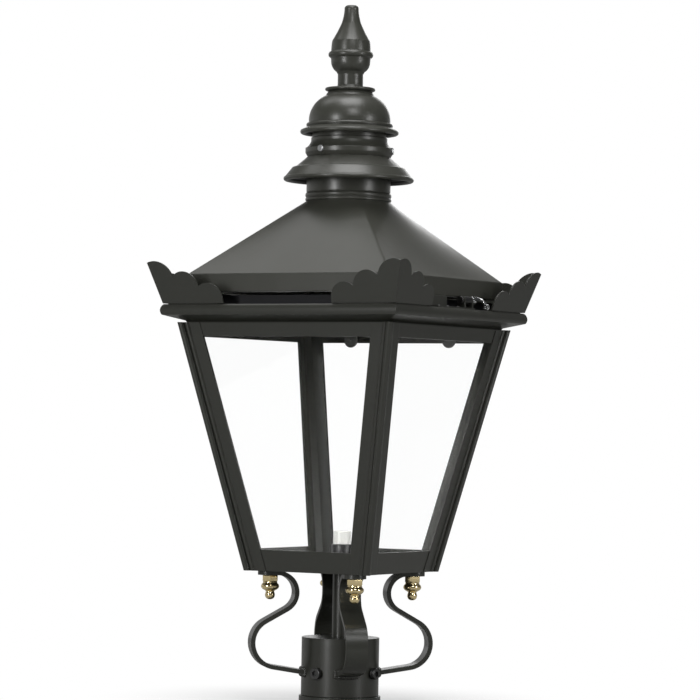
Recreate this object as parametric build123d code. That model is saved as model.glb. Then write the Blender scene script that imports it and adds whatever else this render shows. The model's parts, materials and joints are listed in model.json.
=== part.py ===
from build123d import *
import os
from math import acos, atan2, cos, pi, radians, sin, sqrt, tan

# A traditional four sided lantern for the top of a post. A tapered glazed body stands on a
# bracket of four S shaped legs round a post collar, and carries a hinged, vented roof.
# Millimetres, +Z up, origin at the centre of the collar's lower face.
# The four walls face -Y, +X, +Y and -X. The roof is hinged over the -X wall and the catch
# is over the +X wall. Corner 1 is at (+X, -Y) and the numbers go round anticlockwise.

# ------------------------------------------------------------------ driving dimensions
# Fits
running_clearance = 0.05         # radial, pins and screws that turn or slide
loose_clearance = 0.3            # bolts through plates, glass in its frame
hinge_end_gap = 0.4              # between the knuckles of a hinge

# Post collar
collar_diameter = 88.9
collar_wall = 4.95
collar_height = 66.5             # above the base ring
collar_cap_thickness = 4.0
collar_cap_seat = 1.2            # radial step that the cap rests on
base_ring_lip = 2.3              # beyond the collar tube
base_ring_height = 8.0
edge_break = 0.6                 # chamfer of turned and sawn edges

# Clamp screws in the collar
screw_diameter = 8.0
screw_head_diameter = 13.0
screw_head_height = 5.0
screw_socket_width = 6.0
screw_socket_depth = 2.6
screw_rise = 27.0                # above the base ring
screw_stand_off = 1.5            # head to collar, the travel that grips the post
screw_tip_recess = 0.3           # tip held back from the bore

# Bracket legs, flat bar bent in an S
bracket_turn = -4.0              # degrees from the body's diagonals
leg_width = 25.0
leg_thickness = 5.0
leg_root_slope = 9.0             # degrees, where the bar leaves the collar
leg_lower_radius = 28.0          # on the centreline
leg_lower_reach = 75.0           # bend centre from the axis
leg_lower_rise = 60.0            # bend centre above the base ring
leg_upper_radius = 22.0
leg_upper_reach = 75.2
leg_end_reach = 97.0             # rounded end under the body
leg_bolt_reach = 82.8

# Fixings of the body to the legs
stud_diameter = 6.0
stud_nut_width = 10.0
stud_nut_height = 5.0
stud_end = 2.0                   # thread past the nut
finial_nut_height = 28.0
finial_nut_radius = 9.8
finial_nut_ball_radius = 3.2

# Cable conduit and lamp holder
conduit_diameter = 20.0
conduit_wall = 1.6
conduit_stand = 12.0             # above the floor plate
locknut_width = 27.0
locknut_height = 4.0
holder_base_diameter = 24.0
holder_base_height = 26.0
holder_diameter = 20.6
holder_height = 15.0
holder_socket_diameter = 14.5
holder_socket_floor = 2.5        # porcelain under the socket
contact_diameter = 6.0
contact_height = 1.2

# Glazed body
bracket_rise = 142.0             # base ring to the underside of the body
body_height = 280.6
body_bottom_half = 77.3          # half width over the flats of the corner bars
body_top_half = 135.5
bar_width = 23.0
bar_thickness = 3.0
bar_bead_end = 8.7               # from the corner of the flats
bar_bead_height = 2.3
bar_round_radius = 4.1           # corner round
bar_round_stand_off = 1.2        # its centre outside both flats
bottom_rail_height = 24.5
top_rail_height = 15.6
rail_setback = 0.8               # rail face behind the flats of the bars
frame_flange_thickness = 3.0
bottom_flange_width = 34.0
top_flange_width = 14.0
floor_thickness = 2.0
floor_margin = 7.5               # floor edge inside the wall plane
glass_thickness = 3.0
glass_lap = 8.0                  # glass behind bars and rails
clip_radius = 9.0
clip_drop = 5.5
clip_spacing = 132.0
clip_thickness = 1.5

# Crown rail under the roof
crown_height = 19.9
crown_overhang = 18.5            # nose beyond the top of the walls
crown_nose_height = 12.0
crown_nose_bulge = 3.0
crown_slope_height = 6.0
crown_foot_inset = 3.8
crown_opening_inset = 13.5
crown_skin = 2.4
crown_lip_height = 11.0
crown_lip_thickness = 2.0

# Scalloped corner crests
crest_thickness = 2.0
crest_flare = 16.7               # degrees outward
crest_inset = 2.5                # base of the crest behind the crown's nose
crest_shadow_gap = 0.8
crest_length = 81.0
crest_height = 45.3
crest_foot_width = 9.0
crest_foot_thickness = 1.5

# Roof
lid_inset = 21.0                 # roof edge behind the crown's nose
vent_gap = 14.5                  # crown to roof skirt
skirt_height = 20.0
sheet = 2.0                      # measured level
skirt_return = 14.0
roof_rise = 88.5
eave_corner_radius = 3.0
hip_spread = 9.0                 # degrees of the neck's circle met by each flat side
rest_radius = 4.0
rest_spacing = 190.0
rest_gap = 0.3

# Chimney and finial, radii and heights above the joint below each
neck_radius = 48.3
neck_height = 46.5
neck_bead = 1.2                  # how far a bead stands out
neck_lower_bead_height = 4.2
neck_upper_bead_height = 6.0
cowl_lip_radius = 74.9
cowl_lip_drop = 21.2             # below the top of the neck
cowl_shoulder_drop = 9.4
cowl_shoulder_radius = 66.2
cowl_seat_height = 4.5
cowl_seat_radius = 48.0
bell_height = 33.5
bell_foot_radius = 50.3
bell_waist_radius = 43.9
bell_neck_radius = 42.5
upper_lip_radius = 56.6
upper_lip_drop = 5.0
upper_cowl_height = 5.5
upper_seat_radius = 48.6
dome_radius = 47.0
dome_height = 37.5
cap_radius = 28.9
cap_height = 3.6
finial_height = 95.6
finial_bulb_radius = 22.6
finial_ring_radius = 25.8
finial_stem_radius = 14.6
finial_tip_radius = 8.2
tie_rod_diameter = 8.0
tie_rod_hold = 20.0              # thread inside the finial
spider_width = 25.0
spider_thickness = 4.0
spider_drop = 6.0                # spider top below the top of the roof
rod_nut_width = 13.0
rod_nut_height = 6.5
rod_end = 4.0
bell_screw_diameter = 8.0
bell_screw_height = 1.6
bell_screw_rise = 7.4
bell_screw_count = 3
bell_screw_turn = 260.5          # azimuth of the first one

# Roof hinges, over the -X wall
hinge_spacing = 90.0
hinge_length = 40.0
hinge_middle = 16.0
knuckle_diameter = 8.0
hinge_pin_diameter = 4.0
hinge_rise = 27.5                # pin above the crown
hinge_stand_off = 6.0            # pin outside the roof skirt
leaf_thickness = 2.5
fixed_leaf_reach = 14.0
moving_leaf_thickness = 2.0
moving_leaf_height = 17.0

# Catch, over the +X wall. Places along the wall are shares of the half gap between two crests
catch_pin_diameter = 5.0
catch_pin_rise = 10.6            # above the crown
catch_pin_stand_off = 7.2        # outside the roof skirt
catch_pin_head_radius = 4.2
catch_pin_head_height = 3.0
catch_first_ear_share = 0.255
catch_second_ear_share = 0.51
catch_rest_start_share = -0.667
catch_rest_end_share = -0.142
catch_rest_width = 10.0          # block under the roof skirt
catch_rest_lap = 6.0             # of the block, under the skirt
catch_ear_thickness = 3.0
catch_ear_rim = 2.0              # round the pin
catch_plate_thickness = 2.0
catch_plate_width = 13.0
catch_hub_radius = 4.6
catch_cam_gap = 0.45             # to the lower edge of the skirt
lever_width = 7.0
lever_thickness = 3.2
lever_reach = 19.0
lever_drop = 10.5
lever_eye_radius = 3.2
lever_eye_hole = 2.8
lever_eye_width = 4.0

# ------------------------------------------------------------------ levels and places
collar_bottom = base_ring_height
collar_top = collar_bottom + collar_height
body_bottom = collar_bottom + bracket_rise
body_top = body_bottom + body_height
floor_top = body_bottom + frame_flange_thickness + floor_thickness
crown_top = body_top + crown_height
skirt_bottom = crown_top + vent_gap
eave_level = skirt_bottom + skirt_height
roof_top = eave_level + roof_rise
neck_top = roof_top + neck_height
bell_bottom = neck_top + cowl_seat_height
bell_top = bell_bottom + bell_height
dome_bottom = bell_top + upper_cowl_height
cap_bottom = dome_bottom + dome_height
finial_bottom = cap_bottom + cap_height
finial_top = finial_bottom + finial_height

collar_radius = collar_diameter / 2
bore_radius = collar_radius - collar_wall
collar_cap_radius = bore_radius + collar_cap_seat
wall_slope = (body_top_half - body_bottom_half) / body_height
crown_nose_half = body_top_half + crown_overhang
crown_opening_half = body_top_half - crown_opening_inset
crest_half = crown_nose_half - crest_inset
lid_half = crown_nose_half - lid_inset
glass_depth = bar_thickness + loose_clearance
far = 2 * crown_nose_half        # beyond everything in plan
corner_turns = [0, 90, 180, 270]


def half_width(z):
    """Half width over the flats of the tapered body at a height."""
    return body_bottom_half + wall_slope * (z - body_bottom)


# ------------------------------------------------------------------ shared constructions
def outline(start, *steps):
    """Closed face. A step is the next corner, or a (through, end) pair for an arc."""
    edges = []
    here = start
    for step in steps:
        if isinstance(step[0], tuple):
            edges.append(ThreePointArc(here, step[0], step[1]))
            here = step[1]
        else:
            edges.append(Line(here, step))
            here = step
    edges.append(Line(here, start))
    return make_face(Curve() + edges)


def turned(start, *steps):
    """Solid of revolution about Z. Points are (radius, height)."""
    return revolve(Plane.XZ * outline(start, *steps), Axis.Z)


def tube(outer, inner, bottom, height):
    ring = Circle(outer) - Circle(inner)
    return extrude(Pos(0, 0, bottom) * ring, height)


def rod(diameter, bottom, height):
    return extrude(Pos(0, 0, bottom) * Circle(diameter / 2), height)


def hexagon(across_flats, bottom, height):
    return extrude(Pos(0, 0, bottom) * RegularPolygon(across_flats / 2, 6, major_radius=False), height)


def on_all_sides(piece):
    """Four copies of a solid, one turned to each wall or corner."""
    return [Rot(0, 0, turn) * piece for turn in corner_turns]


def wall_wedge(height):
    """Everything nearer to the -Y wall than to the others, for mitred corners."""
    triangle = make_face(Polyline((0, 0), (-far, -far), (far, -far), close=True))
    return extrude(triangle, height)


def square_ring(profile):
    """Mitred square ring from a (distance from the axis, height) face."""
    side_plane = Plane(origin=(0, 0, 0), x_dir=(0, -1, 0), z_dir=(-1, 0, 0))
    side = extrude(side_plane * profile, far, both=True) & wall_wedge(2 * finial_top)
    ring = side
    for turn in corner_turns[1:]:
        ring += Rot(0, 0, turn) * side
    return ring


def wall_band(z_low, z_high, depth, thickness, end_gap):
    """Tapered slab in the -Y wall, its ends short of the corner lines by end_gap."""
    sections = []
    for z in (z_low, z_high):
        half = half_width(z)
        strip = Rectangle(2 * (half - end_gap), thickness)
        sections.append(Pos(0, -(half - depth - thickness / 2), z) * strip)
    return loft(sections, ruled=True)


def frame_flange(z_low, thickness, width):
    """Level square ring just inside the corner bars, its corners cut to clear them."""
    inside = bar_thickness + loose_clearance
    corner_cut = bar_bead_end
    outer = []
    for z in (z_low, z_low + thickness):
        size = 2 * (half_width(z) - inside)
        outer.append(Pos(0, 0, z) * chamfer(Rectangle(size, size).vertices(), corner_cut))
    hole_size = 2 * (half_width(z_low) - inside - width)
    hole = extrude(Pos(0, 0, z_low - thickness) * RectangleRounded(hole_size, hole_size, width / 4), 3 * thickness)
    return loft(outer, ruled=True) - hole


# ------------------------------------------------------------------ post collar
def mounting_collar():
    body = tube(collar_radius, bore_radius, collar_bottom, collar_height)
    body = chamfer(body.edges().group_by(Axis.Z)[0].sort_by(SortBy.RADIUS)[-1], edge_break)
    body -= rod(2 * collar_cap_radius, collar_top - collar_cap_thickness, collar_cap_thickness)
    for turn in screw_azimuths:
        hole = Cylinder(screw_diameter / 2 + running_clearance, collar_radius, rotation=(0, 90, 0))
        body -= Rot(0, 0, turn) * Pos(collar_radius, 0, screw_level) * hole
    return body


def collar_base_ring():
    body = tube(collar_radius + base_ring_lip, bore_radius, 0, base_ring_height)
    rims = body.edges().filter_by(GeomType.CIRCLE).sort_by(SortBy.RADIUS)[-2:]
    return chamfer(rims, edge_break)


def collar_cap():
    """Disc let into the collar's top, which rests on the post and holds the conduit."""
    bottom = collar_top - collar_cap_thickness
    return tube(collar_cap_radius, conduit_diameter / 2, bottom, collar_cap_thickness)


def set_screw():
    """Low headed socket screw along +X, its tip held back from the bore."""
    tip = bore_radius + screw_tip_recess
    under_head = collar_radius + screw_stand_off
    shank = rod(screw_diameter, tip, under_head - tip)
    head = rod(screw_head_diameter, under_head, screw_head_height)
    head = fillet(head.edges().group_by(Axis.Z)[-1], edge_break)
    socket = hexagon(screw_socket_width, under_head + screw_head_height - screw_socket_depth, screw_socket_depth)
    return Pos(0, 0, screw_level) * Rot(0, 90, 0) * (shank + head - socket)


# ------------------------------------------------------------------ bracket legs
def leg_path():
    """Centreline in the (radius, height) plane: two bends joined by their crossing tangent."""
    lower = Vector(leg_lower_reach, collar_bottom + leg_lower_rise)
    upper = Vector(leg_upper_reach, body_bottom - leg_thickness / 2 - leg_upper_radius)
    across = upper - lower
    heading = atan2(across.Y, across.X) - acos((leg_lower_radius + leg_upper_radius) / across.length)
    lower_end = lower + Vector(cos(heading), sin(heading)) * leg_lower_radius
    upper_start = upper - Vector(cos(heading), sin(heading)) * leg_upper_radius
    slope = radians(leg_root_slope)
    lower_start = lower + Vector(sin(slope), -cos(slope)) * leg_lower_radius
    lower_side = lower + Vector(cos(heading / 2 - pi / 4), sin(heading / 2 - pi / 4)) * leg_lower_radius
    upper_side = upper + Vector(-leg_upper_radius, 0)
    upper_end = upper + Vector(0, leg_upper_radius)
    root = lower_start - Vector(cos(slope), sin(slope)) * ((lower_start.X - bore_radius) / cos(slope))
    return [
        Line(root, lower_start),
        ThreePointArc(lower_start, lower_side, lower_end),
        Line(lower_end, upper_start),
        ThreePointArc(upper_start, upper_side, upper_end),
        Line(upper_end, Vector(leg_end_reach - leg_width / 2, upper_end.Y)),
    ]


def bracket_leg():
    """One leg along +X. The root is cut to the collar and the end under the body is round."""
    path = Curve() + [Plane.XZ * piece for piece in leg_path()]
    start = path.wire() @ 0
    section = Plane(origin=start, z_dir=path.wire() % 0, x_dir=(0, 1, 0)) * Rectangle(leg_width, leg_thickness)
    bar = sweep(section, path=path.wire())
    end_centre = leg_end_reach - leg_width / 2
    level = body_bottom - leg_thickness
    bar += Pos(end_centre, 0, 0) * rod(leg_width, level, leg_thickness)
    bar -= Pos(leg_bolt_reach, 0, 0) * rod(stud_diameter + 2 * loose_clearance, level, leg_thickness)
    return bar - rod(collar_diameter, 0, collar_top)


def bolt_places():
    """Plan positions of the four bolts, one through each leg."""
    return [Pos(*(Vector(leg_bolt_reach, 0).rotate(Axis.Z, azimuth))) for azimuth in leg_azimuths]


def corner_studs():
    bottom = body_bottom - leg_thickness - finial_nut_height / 2
    top = floor_top + stud_nut_height + stud_end
    return [place * rod(stud_diameter, bottom, top - bottom) for place in bolt_places()]


def floor_nuts():
    nut = hexagon(stud_nut_width, floor_top, stud_nut_height) - rod(stud_diameter, floor_top, stud_nut_height)
    return [place * nut for place in bolt_places()]


def brass_finial_nuts():
    """Turned nuts with two rings, a taper and a ball."""
    top = body_bottom - leg_thickness
    ring = finial_nut_radius
    ball = finial_nut_ball_radius
    neck = 0.75 * ball

    def level(share):
        return top - share * finial_nut_height

    ball_middle = level(1) + ball
    nut = turned(
        (0, top),
        (0.78 * ring, top),
        (ring, level(0.07)),
        (ring, level(0.17)),
        ((0.94 * ring, level(0.25)), (0.77 * ring, level(0.29))),
        ((0.85 * ring, level(0.39)), (0.72 * ring, level(0.49))),
        (neck, ball_middle + sqrt(ball**2 - neck**2)),
        ((ball, ball_middle), (0, level(1))),
    )
    nut -= rod(stud_diameter, top - finial_nut_height / 2, finial_nut_height / 2)
    return [place * nut for place in bolt_places()]


# ------------------------------------------------------------------ glazed body
def corner_bar():
    """Rolled angle at the (+X, +Y) corner with a round on the corner between two beads."""
    centre = bar_round_stand_off
    crown_of_round = centre + bar_round_radius / sqrt(2)
    meeting = Vector(centre, centre) + Vector(-bar_round_radius, 0).rotate(Axis.Z, 12)
    bead_middle = (bar_bead_end - meeting.X) / 2
    section = outline(
        (-bar_width, 0),
        (-bar_bead_end, 0),
        ((-bead_middle, bar_bead_height), (meeting.X, meeting.Y)),
        ((crown_of_round, crown_of_round), (meeting.Y, meeting.X)),
        ((bar_bead_height, -bead_middle), (0, -bar_bead_end)),
        (0, -bar_width),
        (-bar_thickness, -bar_width),
        (-bar_thickness, -bar_bead_end),
        (-bar_bead_end, -bar_thickness),
        (-bar_width, -bar_thickness),
    )
    corner = Vector(body_bottom_half, body_bottom_half, body_bottom)
    along = Vector(body_top_half, body_top_half, body_top) - corner
    return extrude(Pos(*corner) * section, along.length, dir=along)


def rail_frame(z_low, height, flange_bottom, flange_width):
    """Four bands between the corner bars on a level inner flange."""
    depth = rail_setback
    band = wall_band(z_low, z_low + height, depth, bar_thickness - depth, bar_width)
    tie = wall_band(
        flange_bottom, flange_bottom + frame_flange_thickness, depth, 2 * bar_thickness, bar_width
    )
    frame = frame_flange(flange_bottom, frame_flange_thickness, flange_width)
    for side in on_all_sides(band + tie):
        frame += side
    return frame


def bottom_rail():
    frame = rail_frame(body_bottom, bottom_rail_height, body_bottom, bottom_flange_width)
    for place in bolt_places():
        frame -= place * rod(stud_diameter + 2 * loose_clearance, body_bottom, frame_flange_thickness)
    return frame


def top_rail():
    return rail_frame(
        body_top - top_rail_height, top_rail_height, body_top - frame_flange_thickness, top_flange_width
    )


def floor_plate():
    bottom = body_bottom + frame_flange_thickness
    size = 2 * (half_width(bottom) - floor_margin)
    plate = extrude(Pos(0, 0, bottom) * RectangleRounded(size, size, floor_margin), floor_thickness)
    plate -= rod(conduit_diameter + 2 * loose_clearance, bottom, floor_thickness)
    for place in bolt_places():
        plate -= place * rod(stud_diameter + 2 * loose_clearance, bottom, floor_thickness)
    return plate


def glass_pane():
    low = body_bottom + bottom_rail_height - glass_lap
    high = body_top - top_rail_height + glass_lap
    return wall_band(low, high, glass_depth, glass_thickness, bar_width - glass_lap)


def pane_clips():
    """Two tabs behind the top edge of the +Y pane, hung from the top flange."""
    top = body_top - frame_flange_thickness
    low = body_top - top_rail_height - clip_drop
    inside = half_width(low) - glass_depth - glass_thickness - loose_clearance
    face = outline(
        (clip_radius, top),
        (clip_radius, low + clip_radius),
        ((0, low), (-clip_radius, low + clip_radius)),
        (-clip_radius, top),
    )
    clip = Pos(0, inside, 0) * extrude(Plane.XZ * face, clip_thickness)
    return [Pos(side * clip_spacing / 2, 0, 0) * clip for side in (-1, 1)]


# ------------------------------------------------------------------ conduit and lamp holder
def cable_conduit():
    bottom = collar_top - collar_cap_thickness
    top = floor_top + conduit_stand
    return tube(conduit_diameter / 2, conduit_diameter / 2 - conduit_wall, bottom, top - bottom)


def conduit_locknuts():
    """One nut each side of the floor and its frame."""
    levels = (body_bottom + frame_flange_thickness - locknut_height, floor_top)
    return [
        hexagon(locknut_width, level, locknut_height) - rod(conduit_diameter, level, locknut_height)
        for level in levels
    ]


def lamp_holder_base():
    """Cup screwed over the conduit's end above the locknut."""
    bottom = floor_top + locknut_height
    top = floor_top + holder_base_height
    outer = holder_base_diameter / 2
    body = turned(
        (0, bottom),
        (outer, bottom),
        (outer, top - edge_break),
        (outer - edge_break, top),
        (0, top),
    )
    body -= rod(conduit_diameter, bottom, floor_top + conduit_stand - bottom)
    return body


def lamp_holder():
    """Porcelain socket, open at the top."""
    bottom = floor_top + holder_base_height
    outer = holder_diameter / 2
    body = rod(holder_diameter, bottom, holder_height)
    body = fillet(body.edges().group_by(Axis.Z)[-1], min(edge_break, outer / 4))
    socket_floor = bottom + holder_socket_floor
    body -= rod(holder_socket_diameter, socket_floor, holder_height)
    return body - rod(contact_diameter, socket_floor - contact_height, contact_height)


def lamp_contact():
    """Button let into the floor of the socket."""
    top = floor_top + holder_base_height + holder_socket_floor
    button = rod(contact_diameter, top - contact_height, contact_height)
    return fillet(button.edges().group_by(Axis.Z)[-1], contact_height / 3)


# ------------------------------------------------------------------ crown rail and crests
def crown_rail():
    """Folded moulding with a round nose, a sloping underside and an inner lip."""
    opening = crown_opening_half
    nose = crown_nose_half
    foot = body_top_half - crown_foot_inset
    nose_low = crown_top - crown_nose_height
    slope_low = nose_low - crown_slope_height
    skin = crown_skin
    outer = outline(
        (opening, body_top),
        (opening, crown_top + crown_lip_height),
        (opening + crown_lip_thickness, crown_top + crown_lip_height),
        (opening + crown_lip_thickness, crown_top),
        (nose - crown_nose_bulge, crown_top),
        ((nose, crown_top - crown_nose_height / 2), (nose - crown_nose_bulge / 2, nose_low)),
        (foot + skin / 2, slope_low),
        (foot, body_top),
    )
    hollow = outline(
        (opening - skin, body_top + skin),
        (opening - skin, crown_top - skin),
        (nose - crown_nose_bulge - skin, crown_top - skin),
        (nose - crown_nose_bulge - skin / 2, nose_low + skin / 2),
        (foot - skin / 2, slope_low + skin / 2),
        (foot - 1.5 * skin, body_top + skin),
    )
    return square_ring(outer - hollow)


def corner_crest():
    """Two scalloped plates that lean outward and meet at the (+X, -Y) corner."""
    flare = tan(radians(crest_flare))
    length = crest_length
    rise = crest_height

    def edge_point(from_corner, height):
        return (crest_half - from_corner * length, crown_top + height * rise)

    low = crest_shadow_gap / rise
    scallops = outline(
        edge_point(1.0, low),
        edge_point(0.995, 0.10),
        (edge_point(0.92, 0.42), edge_point(0.625, 0.43)),
        (edge_point(0.42, 0.80), edge_point(0.22, 0.68)),
        (edge_point(0.095, 0.985), edge_point(-0.24, 0.94)),
        edge_point(-0.24, low),
    )
    blank = extrude(Plane.XZ * scallops, far)
    leaning = []
    for height in (0, 1.2 * rise):
        half = crest_half + flare * height
        strip = Rectangle(2 * half, crest_thickness)
        leaning.append(Pos(0, crest_thickness / 2 - half, crown_top + height) * strip)
    plate = blank & loft(leaning, ruled=True)
    foot_size = length - 2 * crest_foot_width
    foot = Pos(crest_half - length / 2, -crest_half + crest_foot_width / 2 + crest_thickness / 2, crown_top)
    foot *= Box(foot_size, crest_foot_width, crest_foot_thickness, align=(Align.CENTER, Align.CENTER, Align.MIN))
    half_crest = (plate + foot) & wall_wedge(2 * finial_top)
    return half_crest + mirror(half_crest, about=Plane(origin=(0, 0, 0), z_dir=(1, 1, 0)))


def lid_rests():
    """Rubber buffers under the return of the roof skirt, two on each of two walls."""
    inset = crown_opening_half + crown_lip_thickness + loose_clearance + rest_radius
    height = vent_gap - rest_gap
    buffer = rod(2 * rest_radius, crown_top, height)
    places = [(x * rest_spacing / 2, y * inset) for x in (-1, 1) for y in (-1, 1)]
    return [Pos(x, y, 0) * buffer for x, y in places]


# ------------------------------------------------------------------ roof
def roof_skirt():
    """Upright band round the eaves with a return folded inward."""
    inner = lid_half - sheet
    return square_ring(
        outline(
            (lid_half, skirt_bottom),
            (lid_half, eave_level),
            (inner, eave_level),
            (inner, skirt_bottom + sheet),
            (lid_half - skirt_return, skirt_bottom + sheet),
            (lid_half - skirt_return, skirt_bottom),
        )
    )


def eave_outline(half, corner):
    """Square of four sides and four corner arcs, starting at the -Y side."""
    edges = []
    flat = half - corner
    for turn in corner_turns:
        side = Line((-flat, -half), (flat, -half))
        bend = flat + corner / sqrt(2)
        arc = ThreePointArc((flat, -half), (bend, -bend), (half, -flat))
        edges += [Rot(0, 0, turn) * side, Rot(0, 0, turn) * arc]
    return make_face(Curve() + edges)


def neck_outline(radius):
    """Circle of eight arcs that match the sides and corners of the eaves."""
    edges = []

    def rim(angle):
        return (radius * cos(radians(angle)), radius * sin(radians(angle)))

    for turn in corner_turns:
        side = ThreePointArc(rim(-90 - hip_spread), rim(-90), rim(-90 + hip_spread))
        hip = ThreePointArc(rim(-90 + hip_spread), rim(-45), rim(-hip_spread))
        edges += [Rot(0, 0, turn) * side, Rot(0, 0, turn) * hip]
    return make_face(Curve() + edges)


def roof_shell():
    """Four flat sides whose hips open out into a round neck."""

    def form(inward):
        eaves = Pos(0, 0, eave_level) * eave_outline(lid_half - inward, eave_corner_radius)
        neck = Pos(0, 0, roof_top) * neck_outline(neck_radius - inward)
        return loft([eaves, neck], ruled=True)

    return form(0) - form(sheet)


# ------------------------------------------------------------------ chimney and finial
def chimney_neck():
    inner = neck_radius - sheet
    bead = neck_bead
    lower = roof_top + neck_lower_bead_height
    upper = lower + neck_upper_bead_height
    return turned(
        (inner, roof_top),
        (neck_radius, roof_top),
        ((neck_radius + bead, (roof_top + lower) / 2), (neck_radius, lower)),
        ((neck_radius + bead, (lower + upper) / 2), (neck_radius - bead / 2, upper)),
        (neck_radius, upper + bead / 2),
        (neck_radius, neck_top),
        (inner, neck_top),
    )


def lower_cowl():
    """Spun skirt with a shoulder and a rolled lip, seated on the neck."""
    lip = neck_top - cowl_lip_drop
    shoulder = neck_top - cowl_shoulder_drop
    roll = sheet
    return turned(
        (neck_radius - 4 * sheet, neck_top),
        (neck_radius, neck_top),
        (cowl_shoulder_radius - sheet, shoulder - sheet),
        (cowl_lip_radius - 3 * roll, lip + roll),
        ((cowl_lip_radius - 1.4 * roll, lip - 1.2 * roll), (cowl_lip_radius, lip)),
        ((cowl_lip_radius - 0.2 * roll, lip + roll), (cowl_lip_radius - roll, lip + 1.6 * roll)),
        (cowl_shoulder_radius, shoulder),
        ((cowl_shoulder_radius - 1.2 * sheet, shoulder + sheet), (cowl_shoulder_radius - 2.2 * sheet, shoulder + sheet)),
        (cowl_seat_radius, bell_bottom),
        (neck_radius - 4 * sheet, bell_bottom),
    )


def chimney_bell():
    """Ogee bell with a plain neck above it."""
    bore = bell_neck_radius - 3 * sheet
    foot = bell_foot_radius
    waist = bell_waist_radius

    def level(share):
        return bell_bottom + share * bell_height

    return turned(
        (bore, bell_bottom),
        (0.946 * foot, bell_bottom),
        (foot, level(0.143)),
        (foot, level(0.30)),
        ((1.045 * waist, level(0.418)), (waist, level(0.552))),
        (waist, level(0.657)),
        (bell_neck_radius, level(0.67)),
        (bell_neck_radius, bell_top),
        (bore, bell_top),
    )


def upper_cowl():
    """Smaller skirt with a rolled lip and a bead under the dome."""
    lip = bell_top - upper_lip_drop
    roll = sheet
    bead = dome_bottom - 2 * sheet
    return turned(
        (bell_neck_radius - 3 * sheet, bell_top),
        (bell_neck_radius, bell_top),
        (upper_lip_radius - 3 * roll, lip + roll),
        ((upper_lip_radius - 1.4 * roll, lip - 1.2 * roll), (upper_lip_radius, lip)),
        ((upper_lip_radius - 0.2 * roll, lip + roll), (upper_lip_radius - roll, lip + 1.6 * roll)),
        (upper_seat_radius, bead),
        ((upper_seat_radius + neck_bead, bead + sheet), (upper_seat_radius, dome_bottom)),
        (bell_neck_radius - 3 * sheet, dome_bottom),
    )


def dome_cap():
    """Round dome that closes the chimney."""
    rise = dome_height
    edge = dome_radius
    inner = edge - sheet
    under = dome_bottom + rise - 2 * sheet
    return turned(
        (tie_rod_diameter / 2, under),
        (0.6 * cap_radius, under),
        ((0.80 * inner, dome_bottom + 0.70 * rise), (inner, dome_bottom + 0.16 * rise)),
        (inner, dome_bottom),
        (edge, dome_bottom),
        (edge, dome_bottom + 0.14 * rise),
        ((0.895 * edge, dome_bottom + 0.53 * rise), (0.98 * cap_radius, dome_bottom + 0.85 * rise)),
        (0.86 * cap_radius, cap_bottom),
        (tie_rod_diameter / 2, cap_bottom),
    )


def cap_disc():
    middle = (cap_bottom + finial_bottom) / 2
    flat = cap_radius - cap_height / 2
    return turned(
        (tie_rod_diameter / 2, cap_bottom),
        (flat, cap_bottom),
        ((cap_radius, middle), (flat, finial_bottom)),
        (tie_rod_diameter / 2, finial_bottom),
    )


def finial():
    """Stem, cup, ring, bulb and tapered tip, turned from one piece."""
    stem = finial_stem_radius
    ring = finial_ring_radius
    bulb = finial_bulb_radius
    tip = finial_tip_radius

    def level(share):
        return finial_bottom + share * finial_height

    body = turned(
        (0, level(0)),
        (1.11 * stem, level(0)),
        (stem, level(0.031)),
        (stem, level(0.162)),
        (1.11 * stem, level(0.194)),
        ((0.91 * bulb, level(0.241)), (bulb, level(0.324))),
        (1.02 * bulb, level(0.361)),
        ((ring, level(0.403)), (1.01 * bulb, level(0.439))),
        ((bulb, level(0.486)), (0.965 * bulb, level(0.565))),
        ((0.72 * bulb, level(0.669)), (0.5 * bulb, level(0.779))),
        ((1.13 * tip, level(0.858)), (tip, level(0.947))),
        ((0.92 * tip, level(0.979)), (0.66 * tip, level(0.996))),
        (0, level(1)),
    )
    return body - rod(tie_rod_diameter, finial_bottom, tie_rod_hold)


def chimney_spider():
    """Flat bar across the roof's neck that the tie rod pulls against."""
    top = roof_top - spider_drop
    blank = Box(2 * neck_radius, spider_width, spider_thickness, align=(Align.CENTER, Align.CENTER, Align.MAX))
    bar = (Pos(0, 0, top) * blank) & rod(2 * (neck_radius - sheet), 0, finial_top)
    hole = rod(tie_rod_diameter, top - spider_thickness, spider_thickness)
    return bar - hole


def spider_hangers():
    """Two upright lugs that hold the spider inside the neck."""
    inner = neck_radius - sheet
    low = roof_top - spider_drop
    top = roof_top + neck_height / 2
    wall = tube(inner, inner - sheet, low, top - low)
    return [
        wall & (Pos(side * inner, 0, (low + top) / 2) * Box(inner, spider_width, top - low))
        for side in (-1, 1)
    ]


def chimney_tie_rod():
    bottom = roof_top - spider_drop - spider_thickness - rod_nut_height - rod_end
    return rod(tie_rod_diameter, bottom, finial_bottom + tie_rod_hold - bottom)


def tie_rod_nut():
    bottom = roof_top - spider_drop - spider_thickness - rod_nut_height
    return hexagon(rod_nut_width, bottom, rod_nut_height) - rod(tie_rod_diameter, bottom, rod_nut_height)


def bell_screws():
    """Round headed screws through the bell, seated on its flank."""
    start = bell_neck_radius - sheet
    head = rod(bell_screw_diameter, start, bell_foot_radius + bell_screw_height - start)
    head = fillet(head.edges().group_by(Axis.Z)[-1], 0.15 * bell_screw_diameter)
    screw = Pos(0, 0, bell_bottom + bell_screw_rise) * Rot(0, 90, 0) * head
    screw -= chimney_bell()
    outer = max(screw.solids(), key=lambda solid: solid.center().X)
    turns = [bell_screw_turn + index * 360 / bell_screw_count for index in range(bell_screw_count)]
    return [Rot(0, 0, turn) * outer for turn in turns]


# ------------------------------------------------------------------ roof hinges
def along_wall(piece, middle):
    """Turns a piece drawn along Z to run along Y, centred at a (x, z) place."""
    return Pos(middle[0], 0, middle[1]) * Rot(90, 0, 0) * piece


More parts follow.
